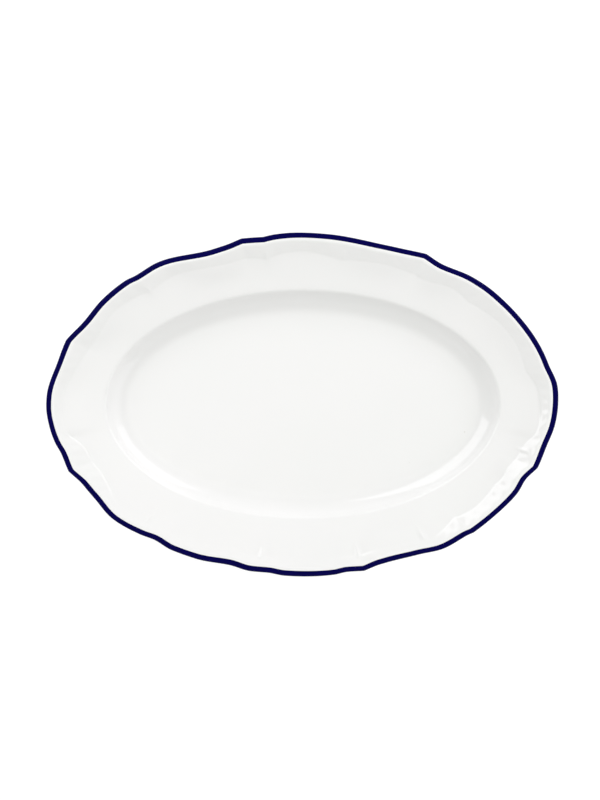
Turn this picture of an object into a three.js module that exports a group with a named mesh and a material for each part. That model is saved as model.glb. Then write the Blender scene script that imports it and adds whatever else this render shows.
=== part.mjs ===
// Oval china serving platter: one porcelain dish with a scalloped, moulded border, the oval foot ring
// it stands on, and the cobalt enamel line fired round its edge. Millimetres, +Z up. The foot stands
// on z = 0, +X runs along the platter, and the origin is under the middle of its outline.
import * as THREE from "three";

// Driving dimensions. A section is drawn along the long axis, so its x is a distance from the centre.
const EDGE_LONG = 168.4; // half the length of the oval that the scallops swing about
const EDGE_SHORT = 113; // half its width
const FLOOR_LONG = 115; // half the length of the well's flat floor
const HEART_LONG = 100; // inside this ring the floor and its underside are plain and flat

const FOOT_HEIGHT = 4.8;
const FOOT_MIDDLE = 112.5; // middle of the foot ring's tread
const FOOT_TREAD = 2.4; // width that touches the table
const FOOT_ROOT = 6.6; // width where the ring meets the dish
const FOOT_ROUNDING = 0.7;

const FLOOR_THICKNESS = 4.8; // the well's wall is as thick
const COVE_RADIUS = 17.7; // hollow curve from the floor into the well's wall
const WALL_SLOPE = THREE.MathUtils.degToRad(56);
const WALL_LENGTH = 1.8; // straight stretch between the cove and the fold
const FOLD_RADIUS = 3; // rounded fold between the wall and the rim
const RIM_SLOPE = THREE.MathUtils.degToRad(12); // just outside the fold
const RIM_SLOPE_OUT = THREE.MathUtils.degToRad(16); // where the rim meets the border

const BORDER_WIDTH = 13.2; // moulded border, measured in from the edge
const BORDER_RISE = 2.9; // its crest stands this far above its inner side
const CREST_INSET = 4.6;
const CREST_ROLL = 0.3; // fall from the crest to the top of the rounded edge
const EDGE_RADIUS = 1.7; // half the thickness of the rounded edge

const LINE_WIDTH = 3.1; // enamel line, seen from above
const LINE_UNDER = 2.5; // enamel line, seen from below
const LINE_THICKNESS = 0.4;
const GAP = 0.3; // clearance between pieces

const SEGMENTS = 120;
const CURVE_STEPS = 3; // on a free curve; an arc has twice as many

// The scalloped edge: eccentric angle in degrees from +X, how far the edge stands outside the oval, and
// true where two lobes meet in a sharp point instead of a smooth crest or hollow.
const SCALLOPS = [
  [0, 1.2], [6, 1.75], [14, -0.35], [28, -0.4], [36, 0], [44, 0.7], [48, 0.55], [56, -1.15],
  [61, 1.2, true], [68, -0.65], [72, -0.95], [84, 0.65], [92, 1.15], [96, 0.7], [99, -0.4, true],
  [104, 0.55, true], [108, -1.8], [112, -2.55], [125, 1.5], [131, 0.5], [134, 1.2], [142, 0.4],
  [150, -1.35], [158, 1, true], [166, -0.35], [177, 1.75], [181, 1.9], [187, 1.25], [193, 0.3],
  [197, -0.8], [203, 0.5, true], [209, -2], [214, -1.55], [222, 0.95], [230, -0.35], [234, -1.55],
  [239, 0], [245, 0], [253, -1.5], [258, 0.1], [262, -0.2], [266, 1], [272, 1.25], [277, 0.95],
  [280, -0.05], [284, 0.85, true], [288, -1.35], [291, -1.7], [297, -0.85], [304, 1.65], [310, 0.8],
  [312, 1.35, true], [320, 0], [328, -0.75], [333, -2.45], [338, -0.2, true], [345, -1.2], [353, 0.3],
];
const POINT_SHARPNESS = 1.2; // how steeply the edge runs into a sharp point, against a straight line
const FADE_START = BORDER_WIDTH; // the scallops keep their full size across the border
const FADE_END = 26; // and have died away this far in

const china = new THREE.MeshStandardMaterial({ color: 0xf3f2ee, roughness: 0.12, metalness: 0 });
const bareChina = new THREE.MeshStandardMaterial({ color: 0xe9e6de, roughness: 0.6, metalness: 0 });
const cobalt = new THREE.MeshStandardMaterial({ color: 0x0c0650, roughness: 0.18, metalness: 0 });

// Each ring's half length is this much more than its half width, so the rim and the wall are as wide
// at the ends of the platter as at its sides.
const AXES_GAP = EDGE_LONG - EDGE_SHORT;
const FLOOR_TOP = FOOT_HEIGHT + FLOOR_THICKNESS;

// Slopes of the edge just before and just after each scallop point, so that crests and hollows are
// level, points in between run on smoothly, and sharp points keep their two sides.
function scallopSlopes() {
  const count = SCALLOPS.length;
  const span = (i) => (SCALLOPS[(i + 1) % count][0] - SCALLOPS[i][0] + 360) % 360;
  const steepness = (i) => (SCALLOPS[(i + 1) % count][1] - SCALLOPS[i][1]) / span(i);
  return SCALLOPS.map(([, , sharp], i) => {
    const before = (i + count - 1) % count;
    const [left, right] = [steepness(before), steepness(i)];
    if (sharp) return [left * POINT_SHARPNESS, right * POINT_SHARPNESS];
    if (left * right <= 0) return [0, 0];
    const [weightLeft, weightRight] = [2 * span(i) + span(before), span(i) + 2 * span(before)];
    const slope = (weightLeft + weightRight) / (weightLeft / left + weightRight / right);
    return [slope, slope];
  });
}
const SLOPES = scallopSlopes();

// How far the edge stands outside the oval at an angle in radians.
function scallopAt(angle) {
  const degrees = THREE.MathUtils.euclideanModulo(THREE.MathUtils.radToDeg(angle), 360);
  const i = SCALLOPS.findLastIndex(([start]) => start <= degrees);
  const next = (i + 1) % SCALLOPS.length;
  const span = (SCALLOPS[next][0] - SCALLOPS[i][0] + 360) % 360;
  const t = (degrees - SCALLOPS[i][0]) / span;
  return (
    SCALLOPS[i][1] * (2 * t ** 3 - 3 * t ** 2 + 1) +
    SLOPES[i][1] * span * (t ** 3 - 2 * t ** 2 + t) +
    SCALLOPS[next][1] * (3 * t ** 2 - 2 * t ** 3) +
    SLOPES[next][0] * span * (t ** 3 - t ** 2)
  );
}

// The plan position of a section point that lies at this angle and this distance along the long axis.
function planPoint(angle, along) {
  const squeeze = Math.min(1, along / HEART_LONG);
  const across = (Math.max(along, HEART_LONG) - AXES_GAP) * squeeze;
  const point = new THREE.Vector2(along * Math.cos(angle), across * Math.sin(angle));
  const outwards = new THREE.Vector2(across * Math.cos(angle), along * Math.sin(angle)).normalize();
  const fade = 1 - THREE.MathUtils.smoothstep(EDGE_LONG - along, FADE_START, FADE_END);
  return point.addScaledVector(outwards, scallopAt(angle) * fade);
}

// Turns a section round the platter's axis and draws every ring of it out to its scalloped oval.
function ovalLathe(section) {
  const geometry = new THREE.LatheGeometry(section, SEGMENTS).rotateX(Math.PI / 2);
  const position = geometry.getAttribute("position");
  for (let i = 0; i < position.count; i++) {
    const [x, y] = [position.getX(i), position.getY(i)];
    const plan = planPoint(Math.atan2(y, x), Math.hypot(x, y));
    position.setXY(i, plan.x, plan.y);
  }
  geometry.computeVertexNormals();
  return geometry;
}

// The upper face of the dish, from the centre of the well out to the crest of the border.
function upperFace() {
  const face = new THREE.Path().moveTo(0, FLOOR_TOP).lineTo(HEART_LONG, FLOOR_TOP);
  const coveCentre = FLOOR_TOP + COVE_RADIUS;
  face.absarc(FLOOR_LONG, coveCentre, COVE_RADIUS, -Math.PI / 2, WALL_SLOPE - Math.PI / 2);
  const wallTop = new THREE.Vector2(Math.cos(WALL_SLOPE), Math.sin(WALL_SLOPE))
    .multiplyScalar(WALL_LENGTH)
    .add(face.currentPoint);
  const foldX = wallTop.x + FOLD_RADIUS * Math.sin(WALL_SLOPE);
  const foldZ = wallTop.y - FOLD_RADIUS * Math.cos(WALL_SLOPE);
  face.absarc(foldX, foldZ, FOLD_RADIUS, Math.PI / 2 + WALL_SLOPE, Math.PI / 2 + RIM_SLOPE, true);
  const borderX = EDGE_LONG - BORDER_WIDTH;
  const halfRim = (borderX - face.currentPoint.x) / 2;
  const middleZ = face.currentPoint.y + halfRim * Math.tan(RIM_SLOPE);
  const borderZ = middleZ + halfRim * Math.tan(RIM_SLOPE_OUT);
  face.quadraticCurveTo(borderX - halfRim, middleZ, borderX, borderZ);
  const crestX = EDGE_LONG - CREST_INSET;
  const crestZ = borderZ + BORDER_RISE;
  const reach = (crestX - borderX) * 0.4; // length of the curve's handles
  const handleZ = borderZ + reach * Math.tan(RIM_SLOPE_OUT);
  face.bezierCurveTo(borderX + reach, handleZ, crestX - reach, crestZ, crestX, crestZ);
  return face.getPoints(CURVE_STEPS);
}
const UPPER_FACE = upperFace();

// The rounded edge's centre, and the rings where the enamel line starts above and below it.
const EDGE_X = EDGE_LONG - EDGE_RADIUS;
const EDGE_Z = UPPER_FACE.at(-1).y - CREST_ROLL - EDGE_RADIUS;
const LINE_TOP = EDGE_LONG - LINE_WIDTH;
const LINE_BOTTOM = EDGE_LONG - LINE_UNDER;

// Points round the edge at this radius from its centre, from the lowest to the highest.
function edgeArc(radius) {
  return new THREE.Path().absarc(EDGE_X, EDGE_Z, radius, -Math.PI / 2, Math.PI / 2).getPoints(2);
}

// The underside of the dish, from its centre out to the rounded edge.
function underside() {
  const face = new THREE.Path().moveTo(0, FOOT_HEIGHT).lineTo(HEART_LONG, FOOT_HEIGHT);
  const coveRadius = COVE_RADIUS + FLOOR_THICKNESS;
  const coveCentre = FOOT_HEIGHT + coveRadius;
  face.absarc(FLOOR_LONG, coveCentre, coveRadius, -Math.PI / 2, WALL_SLOPE - Math.PI / 2);
  const wall = face.currentPoint;
  const edge = new THREE.Vector2(LINE_BOTTOM - GAP, EDGE_Z - EDGE_RADIUS);
  face.bezierCurveTo(wall.x + 3, wall.y + 4.4, edge.x - 15, edge.y - 4.5, edge.x, edge.y);
  return face.getPoints(CURVE_STEPS);
}

// The dish is one piece of porcelain: floor, well wall, rim and moulded border. Its edge is rebated
// all round, and the enamel line that lies in the rebate makes up the full outline.
function dishSection() {
  const rebate = EDGE_RADIUS - LINE_THICKNESS - GAP;
  return [
    ...underside(),
    new THREE.Vector2(LINE_BOTTOM - GAP, EDGE_Z - rebate),
    ...edgeArc(rebate),
    new THREE.Vector2(LINE_TOP - GAP, EDGE_Z + rebate),
    new THREE.Vector2(LINE_TOP - GAP, EDGE_Z + EDGE_RADIUS),
    ...UPPER_FACE.toReversed(),
  ];
}

// The enamel line, wrapped round the edge from the top of the border to just under it.
function lineSection() {
  const inner = EDGE_RADIUS - LINE_THICKNESS;
  return [
    new THREE.Vector2(LINE_TOP, EDGE_Z + inner),
    ...edgeArc(inner).toReversed(),
    new THREE.Vector2(LINE_BOTTOM, EDGE_Z - inner),
    new THREE.Vector2(LINE_BOTTOM, EDGE_Z - EDGE_RADIUS),
    ...edgeArc(EDGE_RADIUS),
    new THREE.Vector2(LINE_TOP, EDGE_Z + EDGE_RADIUS),
    new THREE.Vector2(LINE_TOP, EDGE_Z + inner),
  ];
}

// The foot ring, drawn in to a narrow flat tread with rounded corners.
function footSection() {
  const top = FOOT_HEIGHT - GAP;
  const [innerRoot, outerRoot] = [FOOT_MIDDLE - FOOT_ROOT / 2, FOOT_MIDDLE + FOOT_ROOT / 2];
  const [innerTread, outerTread] = [FOOT_MIDDLE - FOOT_TREAD / 2, FOOT_MIDDLE + FOOT_TREAD / 2];
  const ring = new THREE.Path()
    .moveTo(innerRoot, top)
    .lineTo(innerTread - FOOT_ROUNDING, FOOT_ROUNDING)
    .quadraticCurveTo(innerTread - FOOT_ROUNDING / 2, 0, innerTread, 0)
    .lineTo(outerTread, 0)
    .quadraticCurveTo(outerTread + FOOT_ROUNDING / 2, 0, outerTread + FOOT_ROUNDING, FOOT_ROUNDING)
    .lineTo(outerRoot, top)
    .lineTo(innerRoot, top);
  return ring.getPoints(2);
}

const platter = new THREE.Group();
const pieces = [
  ["platter_body", dishSection(), china],
  ["foot_ring", footSection(), bareChina],
  ["rim_line", lineSection(), cobalt],
];
for (const [name, section, material] of pieces) {
  const mesh = new THREE.Mesh(ovalLathe(section), material);
  mesh.name = name;
  platter.add(mesh);
}

// The scallops reach a little further at one end, so the platter is moved to centre its outline.
const middle = new THREE.Box3().setFromObject(platter).getCenter(new THREE.Vector3());
platter.position.set(-middle.x, -middle.y, 0);

export default platter;
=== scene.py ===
import math

import bpy
import numpy as np
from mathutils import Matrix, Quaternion, Vector


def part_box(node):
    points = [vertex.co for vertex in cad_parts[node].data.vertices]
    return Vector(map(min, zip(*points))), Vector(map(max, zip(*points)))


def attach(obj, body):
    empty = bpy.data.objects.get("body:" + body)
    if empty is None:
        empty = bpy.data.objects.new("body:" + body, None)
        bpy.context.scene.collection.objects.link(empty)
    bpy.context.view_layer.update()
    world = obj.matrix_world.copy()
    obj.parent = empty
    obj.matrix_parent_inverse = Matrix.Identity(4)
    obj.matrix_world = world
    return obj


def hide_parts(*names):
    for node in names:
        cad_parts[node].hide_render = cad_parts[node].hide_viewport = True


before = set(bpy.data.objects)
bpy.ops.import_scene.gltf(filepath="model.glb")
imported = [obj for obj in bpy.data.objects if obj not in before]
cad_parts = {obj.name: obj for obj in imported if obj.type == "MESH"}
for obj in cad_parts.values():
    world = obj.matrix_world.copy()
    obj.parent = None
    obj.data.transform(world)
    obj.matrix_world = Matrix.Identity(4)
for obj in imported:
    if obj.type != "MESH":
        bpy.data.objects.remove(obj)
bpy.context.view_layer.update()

MM = 0.001


def node_box(node):
    """Lowest and highest corner of a CAD node, in millimetres."""
    low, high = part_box(node)
    return np.array(low) / MM, np.array(high) / MM


# What the frame settles. The foot ring isn't scalloped, so its box gives the oval's middle and how
# much longer than wide each ring of the platter is, measured on half of it.
foot_low, foot_high = node_box("foot_ring")
body_low, body_high = node_box("platter_body")
line_low, line_high = node_box("rim_line")
MIDDLE = (foot_low + foot_high)[:2] / 2
AXES_GAP = (foot_high[0] - foot_low[0] - foot_high[1] + foot_low[1]) / 2
FOOT_LONG = (foot_high[0] - foot_low[0]) / 2
UNDERSIDE_Z = body_low[2]
CREST_Z = body_high[2]
EDGE_RADIUS = (line_high[2] - line_low[2]) / 2
EDGE_Z = (line_high[2] + line_low[2]) / 2

# The dish.
EDGE_LONG = 168.4  # half the length of the oval that the scallops swing about
HEART_LONG = 100  # rings inside this one shrink evenly to a point at the middle
FLOOR_LONG = 115  # half the length of the well's floor
FLOOR_THICKNESS = 4.8
FLOOR_CROWN = 0.2  # the floor's middle stands this far above its edge
COVE_RADIUS = 17.7  # hollow curve from the floor into the well's wall
WALL_SLOPE = math.radians(56)
WALL_LENGTH = 1.8  # straight stretch between the cove and the fold
FOLD_RADIUS = 3  # rounded fold between the wall and the rim
RIM_SLOPE = math.radians(12.5)  # just outside the fold
RIM_SLOPE_OUT = math.radians(17)  # where the rim meets the border
BORDER_SLOPE = math.radians(27)
STEEPEST_INSET = 6.2  # from here out the border rolls over to its crest
CREST_INSET = 4.4
UNDER_EDGE_AIM = (14, 4.3)  # the curve under the rim leaves the edge this far in and down
UNDER_WALL_AIM = (3, 4.4)  # and leaves the wall this far out and up
FLOOR_RINGS = [0, 30, 60, 85, 100, 108, FLOOR_LONG]
UNDERSIDE_RINGS = [90, 45, 0]
FLOOR_Z = UNDERSIDE_Z + FLOOR_THICKNESS

# The scalloped edge: eccentric angle in degrees from +X, how far the edge stands outside the oval, and
# 1 where two lobes meet in a sharp point.
SCALLOPS = [
    (0, 1.2, 0), (6, 1.75, 0), (14, -0.35, 0), (28, -0.4, 0), (36, 0, 0), (44, 0.7, 0), (48, 0.55, 0),
    (56, -1.15, 0), (61, 1.2, 1), (68, -0.65, 0), (72, -0.95, 0), (84, 0.65, 0), (92, 1.15, 0),
    (96, 0.7, 0), (99, -0.4, 1), (104, 0.55, 1), (108, -1.8, 0), (112, -2.55, 0), (125, 1.5, 0),
    (131, 0.5, 0), (134, 1.2, 0), (142, 0.4, 0), (150, -1.35, 0), (158, 1, 1), (166, -0.35, 0),
    (177, 1.75, 0), (181, 1.9, 0), (187, 1.25, 0), (193, 0.3, 0), (197, -0.8, 0), (203, 0.5, 1),
    (209, -2, 0), (214, -1.55, 0), (222, 0.95, 0), (230, -0.35, 0), (234, -1.55, 0), (239, 0, 0),
    (245, 0, 0), (253, -1.5, 0), (258, 0.1, 0), (262, -0.2, 0), (266, 1, 0), (272, 1.25, 0),
    (277, 0.95, 0), (280, -0.05, 0), (284, 0.85, 1), (288, -1.35, 0), (291, -1.7, 0),
    (297, -0.85, 0), (304, 1.65, 0), (310, 0.8, 0), (312, 1.35, 1), (320, 0, 0), (328, -0.75, 0),
    (333, -2.45, 0), (338, -0.2, 1), (345, -1.2, 0), (353, 0.3, 0),
]
POINT_SHARPNESS = 1.2  # how steeply the edge runs into a sharp point, against a straight line
FADE_START = 13.2  # the scallops keep their full size this far in
FADE_END = 26  # and have died away this far in

# The moulded border. Its inner side is a small step that swings in at the points of the edge:
# eccentric angle in degrees, inset, and 1 where two swings meet in a cusp.
CONTOUR = [
    (0, 12, 0), (14, 15.5, 1), (29, 12, 0), (44, 15.5, 1), (52, 12.5, 0), (60, 15.5, 1), (70, 12.5, 0),
    (81, 15.5, 1), (90, 12, 0), (99, 14.5, 1), (115, 11, 0), (131, 14, 1), (144, 11, 0),
    (158, 15.5, 1), (172, 11.5, 0), (182, 10, 0), (189, 9.6, 0), (197, 15.5, 0), (203, 16.8, 1),
    (212, 13, 0), (221, 9.2, 0), (240, 9.2, 0), (260, 10.5, 1), (272, 9.2, 0), (284, 10.5, 1),
    (293, 9.2, 0), (302, 9.5, 0), (311, 14.6, 1), (317, 12.4, 0), (327, 14.8, 1), (331, 13.4, 0),
    (338, 15.3, 1), (344, 13.5, 0), (350, 10, 0),
]
FLAT_INSET = 8.5  # where the step is this near the edge, the border is as flat as the rim
RAISED_INSET = 12  # where it is this far in, the border stands out fully
STEP_SLOPE = math.radians(37)
STEP_WIDTH = 1.3
RIM_COUNT, STEP_COUNT, BORDER_COUNT = 8, 13, 13  # rings up to the step, over it, and out to the crest
BEND_WIDTH = 1  # the rim's slope turns into the border's within this
FLUTES = 88  # shallow flutes round the border
FLUTE_HEIGHT = 0.09
FLUTE_SWAYS = 7  # their spacing widens and narrows this many times round
FLUTE_SWAY = 2  # and carries them this many radians of a wave aside
# Short ribs that stand across the border: eccentric angle in degrees, and height.
RIBS = [
    (60, 0.7), (80, 0.7), (99, 0.7), (131, 0.7), (229, 0.45), (260, 1), (283.5, 1.1), (300.5, 0.8),
    (342, 0.6),
]
RIB_HALF_WIDTH = 1.5
RIB_HALF_LENGTH = 3
RIB_INSET = 12.6  # of a rib's middle
# The moulding is fainter along the +Y side: its strength there, and the shares of the platter's half
# width where it starts to gain strength and where it has all of it.
FAR_STRENGTH = 0.4
FAR_START = 0.4
FAR_END = -0.2

# The painted line, a film laid round the edge.
LINE_WIDTH = 3.75  # seen from above
LINE_UNDER = 2.4  # seen from below
LINE_FILM = 0.05  # it stands this far above the glaze
LINE_BEVEL = 0.2  # share of its width in which it gains that thickness
LINE_TUCK = 0.004  # its inner side starts this far below the glaze
LINE_DEPTH = 0.3  # its hidden side lies this far inside the edge
LINE_DIP = 0.04  # it hangs this far below the edge, halfway to its lower side
LINE_RISE = 0.01  # and is this far above the edge's bottom where it ends inside the dish
# Its width wanders: height of each wave, how many there are round the edge, and where they start.
LINE_WAVES = [(0.12, 3, 1), (0.08, 7, 2), (0.05, 19, 0)]
UNDER_WANDER = 2.5  # the lower side wanders this much more

# The foot, as distances out from its tread and heights above the table: its rounded corners, and the
# hollow curves of its inner and outer side up into the dish.
FOOT_ROOT = 6.6  # width where the foot meets the dish
FOOT_TREAD = 2.4  # width that touches the table
ROOT_Z = UNDERSIDE_Z + 0.1
FOOT_CORNER = [(0, 0), (0.3, 0), (0.45, 0.25), (0.7, 0.8)]
FOOT_INNER_SIDE = [(0.7, 0.8), (1.6, 2.6), (2, ROOT_Z), (4.2, ROOT_Z)]
FOOT_OUTER_SIDE = [(0.7, 0.8), (1.5, 2.6), (1.8, ROOT_Z), (4.4, ROOT_Z + 0.4)]
FOOT_TOP_Z = UNDERSIDE_Z + 0.8

AROUND = 960
ANGLES = np.arange(AROUND) * 2 * math.pi / AROUND


def smoothstep(value, start, end):
    """0 at the start, 1 at the end and eased between them. The start may be the larger."""
    t = np.clip((value - start) / (end - start), 0, 1)
    return t * t * (3 - 2 * t)


def closed_curve(points):
    """A curve through (degrees, value, 1 if sharp) that closes on itself, read at ANGLES.

    Crests and hollows are level, points in between run on smoothly, and sharp points keep their two
    sides.
    """
    at, height, sharp = (np.array(column, float) for column in zip(*points))
    span = np.diff(np.append(at, at[0] + 360))
    right = np.diff(np.append(height, height[0])) / span
    left = np.roll(right, 1)
    span_left = np.roll(span, 1)
    weight_left = 2 * span + span_left
    weight_right = span + 2 * span_left
    with np.errstate(divide="ignore", invalid="ignore"):
        smooth = (weight_left + weight_right) / (weight_left / left + weight_right / right)
    smooth = np.where(left * right > 0, smooth, 0)
    slope_left = np.where(sharp > 0, left * POINT_SHARPNESS, smooth)
    slope_right = np.where(sharp > 0, right * POINT_SHARPNESS, smooth)
    degrees = np.degrees(ANGLES)
    i = np.searchsorted(at, degrees, side="right") - 1
    j = (i + 1) % len(at)
    t = (degrees - at[i]) / span[i]
    return (
        height[i] * (2 * t**3 - 3 * t**2 + 1)
        + slope_right[i] * span[i] * (t**3 - 2 * t**2 + t)
        + height[j] * (3 * t**2 - 2 * t**3)
        + slope_left[j] * span[i] * (t**3 - t**2)
    )


SCALLOP = closed_curve(SCALLOPS)
STEP_INSET = closed_curve(CONTOUR)
CRISPNESS = FAR_STRENGTH + (1 - FAR_STRENGTH) * smoothstep(np.sin(ANGLES), FAR_START, FAR_END)
EDGE_PER_RADIAN = np.hypot(EDGE_LONG * np.sin(ANGLES), (EDGE_LONG - AXES_GAP) * np.cos(ANGLES))


def plan(along):
    """x and y of a whole ring whose points lie this far out along the long axis."""
    along = np.broadcast_to(along, ANGLES.shape)
    squeeze = np.minimum(1, along / HEART_LONG)
    across = (np.maximum(along, HEART_LONG) - AXES_GAP) * squeeze
    cos, sin = np.cos(ANGLES), np.sin(ANGLES)
    out_x, out_y = across * cos, along * sin
    length = np.hypot(out_x, out_y)
    fade = 1 - smoothstep(EDGE_LONG - along, FADE_START, FADE_END)
    x = along * cos + SCALLOP * fade * out_x / length
    y = across * sin + SCALLOP * fade * out_y / length
    return x + MIDDLE[0], y + MIDDLE[1]


def oval_mesh(name, rings, closed=False):
    """A mesh through rings of (distance along the long axis, height), each a number or one per angle.

    It ends in a point where the first or last ring is (0, height), and joins its last ring to its
    first if it is closed.
    """
    points = []
    rows = []
    for along, height in rings:
        if np.ndim(along) == 0 and along == 0:
            rows.append([len(points)] * AROUND)
            points.append((MIDDLE[0] * MM, MIDDLE[1] * MM, float(height) * MM))
            continue
        x, y = plan(along)
        z = np.broadcast_to(height, ANGLES.shape)
        rows.append(list(range(len(points), len(points) + AROUND)))
        points.extend(zip((x * MM).tolist(), (y * MM).tolist(), (z * MM).tolist()))
    if closed:
        rows.append(rows[0])
    faces = []
    for low, high in zip(rows, rows[1:]):
        for i in range(AROUND):
            j = (i + 1) % AROUND
            corners = [low[i], low[j], high[j], high[i]]
            faces.append(list(dict.fromkeys(corners)))
    mesh = bpy.data.meshes.new(name)
    mesh.from_pydata(points, [], faces)
    mesh.polygons.foreach_set("use_smooth", [True] * len(faces))
    mesh.update()
    piece = bpy.data.objects.new(name, mesh)
    bpy.context.scene.collection.objects.link(piece)
    return piece


def arc(centre_x, centre_z, radius, start, end, steps):
    """Points of an arc, without its first one."""
    turn = np.linspace(start, end, steps + 1)[1:]
    return [(centre_x + radius * math.cos(a), centre_z + radius * math.sin(a)) for a in turn]


def bezier(points, steps):
    """Points of a cubic curve, without its first one."""
    a, b, c, d = (np.array(p, float) for p in points)
    return [
        tuple((1 - t) ** 3 * a + 3 * (1 - t) ** 2 * t * b + 3 * (1 - t) * t**2 * c + t**3 * d)
        for t in np.linspace(0, 1, steps + 1)[1:]
    ]


def well_section():
    """Points from the middle of the well up to the start of the rim."""
    points = [(x, FLOOR_Z + FLOOR_CROWN * (1 - (x / FLOOR_LONG) ** 2)) for x in FLOOR_RINGS]
    turn = WALL_SLOPE - math.pi / 2
    points += arc(FLOOR_LONG, FLOOR_Z + COVE_RADIUS, COVE_RADIUS, -math.pi / 2, turn, steps=14)
    foot_x, foot_z = points[-1]
    for length in (WALL_LENGTH / 2, WALL_LENGTH):
        points.append((foot_x + length * math.cos(WALL_SLOPE), foot_z + length * math.sin(WALL_SLOPE)))
    fold_x = points[-1][0] + FOLD_RADIUS * math.sin(WALL_SLOPE)
    fold_z = points[-1][1] - FOLD_RADIUS * math.cos(WALL_SLOPE)
    start, end = math.pi / 2 + WALL_SLOPE, math.pi / 2 + RIM_SLOPE
    points += arc(fold_x, fold_z, FOLD_RADIUS, start, end, steps=12)
    return points


WELL = well_section()
RIM_START, RIM_START_Z = WELL[-1]


def ribs(inset):
    """Height of the short ribs that stand across the border and taper off at both ends."""
    height = 0
    for angle, peak in RIBS:
        apart = (ANGLES - math.radians(angle) + math.pi) % (2 * math.pi) - math.pi
        aside = apart * EDGE_PER_RADIAN / RIB_HALF_WIDTH
        outward = (inset - RIB_INSET) / RIB_HALF_LENGTH
        height = height + peak * np.exp(-(aside**2) - outward**4)
    return height


def flutes(inset):
    """Height of the shallow flutes, which die away at the border's inner side and at its crest."""
    across = np.clip((inset - CREST_INSET) / (STEP_INSET - CREST_INSET), 0, 1)
    wave = np.cos(FLUTES * ANGLES + FLUTE_SWAY * np.sin(FLUTE_SWAYS * ANGLES))
    return FLUTE_HEIGHT * wave * np.sin(math.pi * across) ** 2


def rim_rings():
    """Rings from the fold out to the crest: the rim's slope summed up, with the border's relief on it."""
    fold_inset = EDGE_LONG - RIM_START
    step_start, step_end = STEP_INSET + STEP_WIDTH, STEP_INSET - STEP_WIDTH
    inset = np.concatenate([
        np.linspace(np.full(AROUND, fold_inset), step_start, RIM_COUNT),
        np.linspace(step_start, step_end, STEP_COUNT)[1:],
        np.linspace(step_end, np.full(AROUND, CREST_INSET), BORDER_COUNT)[1:],
    ])
    raised = smoothstep(STEP_INSET, FLAT_INSET, RAISED_INSET)
    slope = RIM_SLOPE + (RIM_SLOPE_OUT - RIM_SLOPE) * smoothstep(inset, fold_inset, STEP_INSET)
    border = RIM_SLOPE_OUT + (BORDER_SLOPE - RIM_SLOPE_OUT) * raised
    bend_start, bend_end = STEP_INSET + BEND_WIDTH / 2, STEP_INSET - BEND_WIDTH / 2
    slope = slope + (border - slope) * smoothstep(inset, bend_start, bend_end)
    step = np.exp(-((2 * (inset - STEP_INSET) / STEP_WIDTH) ** 2)) * raised * CRISPNESS
    slope = slope + (STEP_SLOPE - slope) * step
    slope = slope * (1 - smoothstep(inset, STEEPEST_INSET, CREST_INSET))
    steepness = np.tan(slope)
    climb = np.cumsum(-np.diff(inset, axis=0) * (steepness[1:] + steepness[:-1]) / 2, axis=0)
    share = (CREST_Z - RIM_START_Z) / climb[-1]
    inset = inset[1:]
    heights = RIM_START_Z + climb * share + ribs(inset) * CRISPNESS + flutes(inset) * raised
    return [(EDGE_LONG - at, height) for at, height in zip(inset, heights)]


def crest_height(inset):
    """Height of the upper face between the crest and the top of the rounded edge."""
    edge_top = EDGE_Z + EDGE_RADIUS - LINE_FILM
    return CREST_Z + (edge_top - CREST_Z) * smoothstep(inset, CREST_INSET, EDGE_RADIUS)


def body_rings():
    """Rings of the whole dish: up the well, out over the rim, round the edge and back underneath."""
    rings = WELL + rim_rings()
    for inset in np.linspace(CREST_INSET, EDGE_RADIUS, 8)[1:]:
        rings.append((EDGE_LONG - inset, crest_height(inset)))
    edge_x = EDGE_LONG - EDGE_RADIUS
    rings += arc(edge_x, EDGE_Z, EDGE_RADIUS - LINE_FILM, math.pi / 2, -math.pi / 2, steps=10)
    cove = COVE_RADIUS + FLOOR_THICKNESS
    cove_z = UNDERSIDE_Z + cove
    turn = WALL_SLOPE - math.pi / 2
    wall = (FLOOR_LONG + cove * math.cos(turn), cove_z + cove * math.sin(turn))
    edge_aim = (edge_x - UNDER_EDGE_AIM[0], EDGE_Z - EDGE_RADIUS - UNDER_EDGE_AIM[1])
    wall_aim = (wall[0] + UNDER_WALL_AIM[0], wall[1] + UNDER_WALL_AIM[1])
    rings += bezier([rings[-1], edge_aim, wall_aim, wall], steps=8)
    rings += arc(FLOOR_LONG, cove_z, cove, turn, -math.pi / 2, steps=8)
    rings += [(along, UNDERSIDE_Z) for along in UNDERSIDE_RINGS]
    return rings


def line_rings():
    """Rings of the enamel line: out over the edge, round and under it, and back inside the dish."""
    wander = sum(height * np.sin(count * ANGLES + start) for height, count, start in LINE_WAVES)
    width = LINE_WIDTH + wander
    under = LINE_UNDER + UNDER_WANDER * wander
    edge_x = EDGE_LONG - EDGE_RADIUS
    bottom = EDGE_Z - EDGE_RADIUS
    rings = []
    for share in np.linspace(1, 0, 9):
        inset = EDGE_RADIUS + (width - EDGE_RADIUS) * share
        film = LINE_FILM * smoothstep(1 - share, 0, LINE_BEVEL)
        rings.append((EDGE_LONG - inset, crest_height(inset) + film - LINE_TUCK))
    rings += arc(edge_x, EDGE_Z, EDGE_RADIUS, math.pi / 2, -math.pi / 2, steps=12)
    rings.append((EDGE_LONG - (EDGE_RADIUS + under) / 2, bottom - LINE_DIP))
    rings.append((EDGE_LONG - under, bottom + LINE_RISE))
    rings.append((EDGE_LONG - under, bottom + LINE_DEPTH))
    rings += arc(edge_x, EDGE_Z, EDGE_RADIUS - LINE_DEPTH, -math.pi / 2, math.pi / 2, steps=8)
    rings.append((EDGE_LONG - width, EDGE_Z + EDGE_RADIUS - LINE_DEPTH))
    return rings


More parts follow.
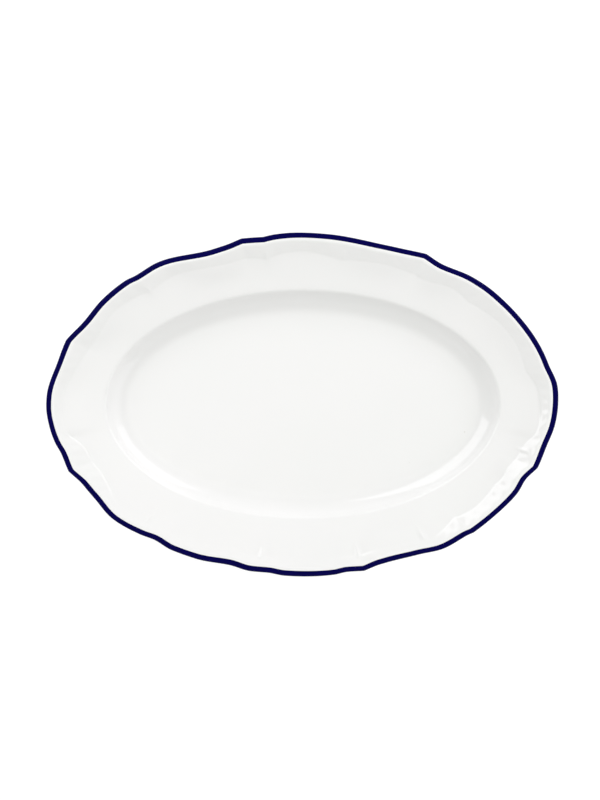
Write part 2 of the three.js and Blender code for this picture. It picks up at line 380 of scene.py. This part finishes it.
def foot_rings():
    """Rings of the foot, which swells out of the underside and draws in to its tread."""
    middle = FOOT_LONG - FOOT_ROOT / 2
    inside, outside = middle - FOOT_TREAD / 2, middle + FOOT_TREAD / 2
    inner_side = [(inside - aside, height) for aside, height in reversed(FOOT_INNER_SIDE)]
    inner_corner = [(inside - aside, height) for aside, height in reversed(FOOT_CORNER)]
    outer_corner = [(outside + aside, height) for aside, height in FOOT_CORNER]
    outer_side = [(outside + aside, height) for aside, height in FOOT_OUTER_SIDE]
    rings = [inner_side[0]]
    rings += bezier(inner_side, steps=10)
    rings += bezier(inner_corner, steps=5)
    rings += [(middle, 0), (outside, 0)]
    rings += bezier(outer_corner, steps=5)
    rings += bezier(outer_side, steps=10)
    rings.append((middle, FOOT_TOP_Z))
    return rings


WHITE = (0.875, 0.875, 0.868, 1)
POOLED = (0.85, 0.86, 0.845, 1)  # where the glaze lies thicker
SPECK = (0.5, 0.46, 0.4, 1)
COBALT = (0.0005, 0.0001, 0.056, 1)
THIN_COBALT = (0.0012, 0.0004, 0.07, 1)
BARE = (0.72, 0.69, 0.62, 1)
SOILED = (0.48, 0.45, 0.4, 1)
GLAZE_IOR = 1.6
GLAZE_END = 1.6 * MM  # the glaze ends up to this far above the tread
SCRATCH_SIZE = (30 * MM, 0.8 * MM, 30 * MM)
# A mix node keeps sockets for every kind of value. These are the ones that a colour uses.
MIX_SHARE, MIX_FIRST, MIX_SECOND, MIX_RESULT = 0, 6, 7, 2


class Nodes:
    """Short ways to add and join shader nodes round the shader of one material or world.

    A noise or speck scale counts features per metre, and a bump's depth is in millimetres.
    """

    def __init__(self, owner, shader="Principled BSDF"):
        owner.use_nodes = True
        self.tree = owner.node_tree
        self.shader = self.tree.nodes[shader]

    def feed(self, socket, value):
        """Join another node's output to a socket, or give the socket a value of its own."""
        if isinstance(value, bpy.types.NodeSocket):
            self.tree.links.new(value, socket)
        else:
            socket.default_value = value

    def add(self, kind, inputs=(), **settings):
        node = self.tree.nodes.new(kind)
        for key, value in settings.items():
            setattr(node, key, value)
        for key, value in dict(inputs).items():
            self.feed(node.inputs[key], value)
        return node

    def shade(self, **inputs):
        """Feed the shader's own sockets, named with _ in place of spaces."""
        for name, value in inputs.items():
            self.feed(self.shader.inputs[name.replace("_", " ")], value)

    def place(self):
        return self.add("ShaderNodeTexCoord").outputs["Object"]

    def height(self, place):
        return self.add("ShaderNodeSeparateXYZ", {"Vector": place}).outputs["Z"]

    def noise(self, place, scale, detail, roughness):
        inputs = {"Vector": place, "Scale": scale, "Detail": detail, "Roughness": roughness}
        return self.add("ShaderNodeTexNoise", inputs).outputs["Fac"]

    def ramp(self, value, low, high, to_low=0.0, to_high=1.0):
        inputs = {"Value": value, "From Min": low, "From Max": high, "To Min": to_low, "To Max": to_high}
        return self.add("ShaderNodeMapRange", inputs, interpolation_type="SMOOTHSTEP").outputs["Result"]

    def calculate(self, operation, first, second):
        return self.add("ShaderNodeMath", {0: first, 1: second}, operation=operation).outputs[0]

    def mix(self, share, first, second):
        """One colour turning into another."""
        inputs = {MIX_SHARE: share, MIX_FIRST: first, MIX_SECOND: second}
        return self.add("ShaderNodeMix", inputs, data_type="RGBA").outputs[MIX_RESULT]

    def bump(self, height, depth, strength, normal=None):
        inputs = {"Height": height, "Distance": depth * MM, "Strength": strength}
        if normal is not None:
            inputs["Normal"] = normal
        return self.add("ShaderNodeBump", inputs).outputs["Normal"]

    def scratches(self, place, turn):
        """Fine broken marks that all run one way, turned by an angle in radians."""
        inputs = {"Vector": place, "Rotation": (0, 0, turn), "Scale": SCRATCH_SIZE}
        aligned = self.add("ShaderNodeMapping", inputs, vector_type="TEXTURE").outputs["Vector"]
        return self.ramp(self.noise(aligned, scale=1, detail=2, roughness=0.5), 0.68, 0.75)

    def specks(self, place, scale, radius):
        """Round dots in about one cell in eight of an irregular grid."""
        cells = self.add("ShaderNodeTexVoronoi", {"Vector": place, "Scale": scale})
        chosen = self.add("ShaderNodeSeparateColor", {"Color": cells.outputs["Color"]}).outputs["Red"]
        rare = self.ramp(chosen, 0.87, 0.88)
        dot = self.ramp(cells.outputs["Distance"], radius, radius * 0.6)
        return self.calculate("MULTIPLY", rare, dot)


def glazed_white():
    """Glossy glaze over white china: gently wavy, greener where it lies thicker, finely scratched by
    cutlery and with a few pinhead specks of iron in the clay."""
    material = bpy.data.materials.new("glazed white china")
    nodes = Nodes(material)
    place = nodes.place()
    cloud = nodes.noise(place, scale=14, detail=3, roughness=0.5)
    tone = nodes.mix(nodes.ramp(cloud, 0.35, 0.7, to_high=0.35), WHITE, POOLED)
    tone = nodes.mix(nodes.specks(place, scale=110, radius=0.035), tone, SPECK)
    scratched = nodes.calculate("MAXIMUM", nodes.scratches(place, 0.5), nodes.scratches(place, -0.9))
    rubbed = nodes.ramp(scratched, 0, 1, to_high=0.13)
    polish = nodes.ramp(nodes.noise(place, scale=60, detail=4, roughness=0.6), 0.3, 0.8, 0.02, 0.05)
    waves = nodes.noise(place, scale=38, detail=1, roughness=0.4)
    skin = nodes.noise(place, scale=900, detail=2, roughness=0.5)
    wavy = nodes.bump(waves, depth=0.4, strength=0.3)
    rippled = nodes.bump(skin, depth=0.004, strength=0.5, normal=wavy)
    nodes.shade(
        Base_Color=tone,
        Roughness=nodes.calculate("MAXIMUM", polish, rubbed),
        Normal=nodes.bump(scratched, depth=-0.002, strength=0.4, normal=rippled),
        IOR=GLAZE_IOR,
    )
    return material


def cobalt():
    """Dark cobalt laid on by brush under the glaze."""
    material = bpy.data.materials.new("cobalt enamel")
    nodes = Nodes(material)
    place = nodes.place()
    strokes = nodes.noise(place, scale=220, detail=3, roughness=0.6)
    sheen = nodes.noise(place, scale=90, detail=3, roughness=0.6)
    nodes.shade(
        Base_Color=nodes.mix(nodes.ramp(strokes, 0.3, 0.75), COBALT, THIN_COBALT),
        Roughness=nodes.ramp(sheen, 0.3, 0.7, 0.2, 0.3),
        Normal=nodes.bump(strokes, depth=0.02, strength=0.5),
        Specular_IOR_Level=0.03,
    )
    return material


def foot_china():
    """Glazed down to just above the tread, and bare, matt and slightly soiled on it."""
    material = bpy.data.materials.new("foot china")
    nodes = Nodes(material)
    place = nodes.place()
    wobble = nodes.noise(place, scale=60, detail=2, roughness=0.5)
    level = nodes.calculate("MULTIPLY", wobble, GLAZE_END)
    above = nodes.calculate("SUBTRACT", nodes.height(place), level)
    glazed = nodes.ramp(above, 0.1 * MM, 0.3 * MM)
    grit = nodes.noise(place, scale=1500, detail=4, roughness=0.7)
    bare = nodes.mix(nodes.ramp(grit, 0.35, 0.75), BARE, SOILED)
    nodes.shade(
        Base_Color=nodes.mix(glazed, bare, WHITE),
        Roughness=nodes.ramp(glazed, 0, 1, 0.65, 0.09),
        Normal=nodes.bump(grit, depth=0.04, strength=0.5),
        IOR=GLAZE_IOR,
    )
    return material


def finish_piece(piece, material, slot, *nodes):
    """Give a piece its material, hide the CAD nodes that it stands in for, and say what it moves with."""
    piece.data.materials.append(material)
    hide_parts(*nodes)
    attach(piece, "root")


dish = oval_mesh("glazed_dish", body_rings())
finish_piece(dish, glazed_white(), "white_glazed_porcelain", "platter_body")
line = oval_mesh("cobalt_line", line_rings(), closed=True)
finish_piece(line, cobalt(), "cobalt_enamel", "rim_line")
foot = oval_mesh("foot_with_bare_tread", foot_rings(), closed=True)
finish_piece(foot, foot_china(), "unglazed_foot", "foot_ring")


# The studio, in metres, with the camera's lens and sensor in millimetres.
SWEEP_REACH = 4
SWEEP_Z = -0.1 * MM
SWEEP_PALE = (0.42, 0.42, 0.42, 1)
SWEEP_DARK = (0.39, 0.39, 0.39, 1)
SWEEP_GLOW = 0.68
ROOM_COLOUR = (0.992, 1, 0.97, 1)
ROOM_BRIGHTNESS = 0.577
OVERHEAD_BRIGHTNESS = 0.68
OVERHEAD_ANGLE = 30  # the glow straight above dies away at this many degrees
LAMP_DISTANCE = 1.4
LAMP_COLOUR = (1, 0.98, 1.02)
CAMERA_PLACE = (-0.0015, 0.003, 1.5016)
CAMERA_LENS = 100
CAMERA_SENSOR = 36


def studio_floor():
    """A plain pale sweep that the platter stands on."""
    mesh = bpy.data.meshes.new("studio_floor")
    corners = [(-1, -1), (1, -1), (1, 1), (-1, 1)]
    mesh.from_pydata([(x * SWEEP_REACH, y * SWEEP_REACH, 0) for x, y in corners], [], [(0, 1, 2, 3)])
    floor = bpy.data.objects.new("studio_floor", mesh)
    floor.location.z = SWEEP_Z
    bpy.context.scene.collection.objects.link(floor)
    material = bpy.data.materials.new("studio floor")
    nodes = Nodes(material)
    grain = nodes.noise(nodes.place(), scale=500, detail=3, roughness=0.6)
    nodes.shade(
        Base_Color=nodes.mix(grain, SWEEP_PALE, SWEEP_DARK),
        Roughness=0.9,
        Emission_Color=(1, 1, 1, 1),
        Emission_Strength=SWEEP_GLOW,
    )
    mesh.materials.append(material)


def surroundings():
    """Even light from all round, with a soft glow straight above."""
    world = bpy.data.worlds.new("studio")
    nodes = Nodes(world, "Background")
    direction = nodes.add("ShaderNodeTexCoord").outputs["Generated"]
    glow_edge = math.cos(math.radians(OVERHEAD_ANGLE))
    brightest = ROOM_BRIGHTNESS + OVERHEAD_BRIGHTNESS
    strength = nodes.ramp(nodes.height(direction), glow_edge, 1, ROOM_BRIGHTNESS, brightest)
    nodes.shade(Color=ROOM_COLOUR, Strength=strength)
    bpy.context.scene.world = world


def softbox(name, azimuth, elevation, width, height, brightness, roll=0):
    """A rectangular light that faces the platter, from an azimuth in degrees from +X towards +Y.

    Its brightness is that of its face, so a larger light gives off more.
    """
    light = bpy.data.lights.new(name, "AREA")
    light.shape = "RECTANGLE"
    light.size, light.size_y = width, height
    light.energy = brightness * math.pi * width * height
    light.color = LAMP_COLOUR
    lamp = bpy.data.objects.new(name, light)
    a, e = math.radians(azimuth), math.radians(elevation)
    towards = Vector((math.cos(a) * math.cos(e), math.sin(a) * math.cos(e), math.sin(e)))
    lamp.location = towards * LAMP_DISTANCE
    facing = (-towards).to_track_quat("-Z", "Y") @ Quaternion((0, 0, 1), math.radians(roll))
    lamp.rotation_euler = facing.to_euler()
    bpy.context.scene.collection.objects.link(lamp)


def add_camera():
    """A long lens that looks straight down on the platter."""
    camera_data = bpy.data.cameras.new("camera")
    camera_data.lens = CAMERA_LENS
    camera_data.sensor_width = CAMERA_SENSOR
    camera = bpy.data.objects.new("camera", camera_data)
    camera.location = CAMERA_PLACE
    bpy.context.scene.collection.objects.link(camera)
    bpy.context.scene.camera = camera


studio_floor()
surroundings()
softbox("right_softbox", azimuth=46, elevation=19, width=1.15, height=0.98, brightness=1.6, roll=-18)
softbox("left_softbox", azimuth=133, elevation=34, width=1.3, height=1.13, brightness=1.85, roll=12)
softbox("right_fill", azimuth=-10, elevation=24, width=1.7, height=1.2, brightness=0.82)
softbox("front_fill", azimuth=-90, elevation=20, width=2.2, height=1, brightness=0.4)
add_camera()
bpy.context.scene.view_settings.view_transform = "Standard"
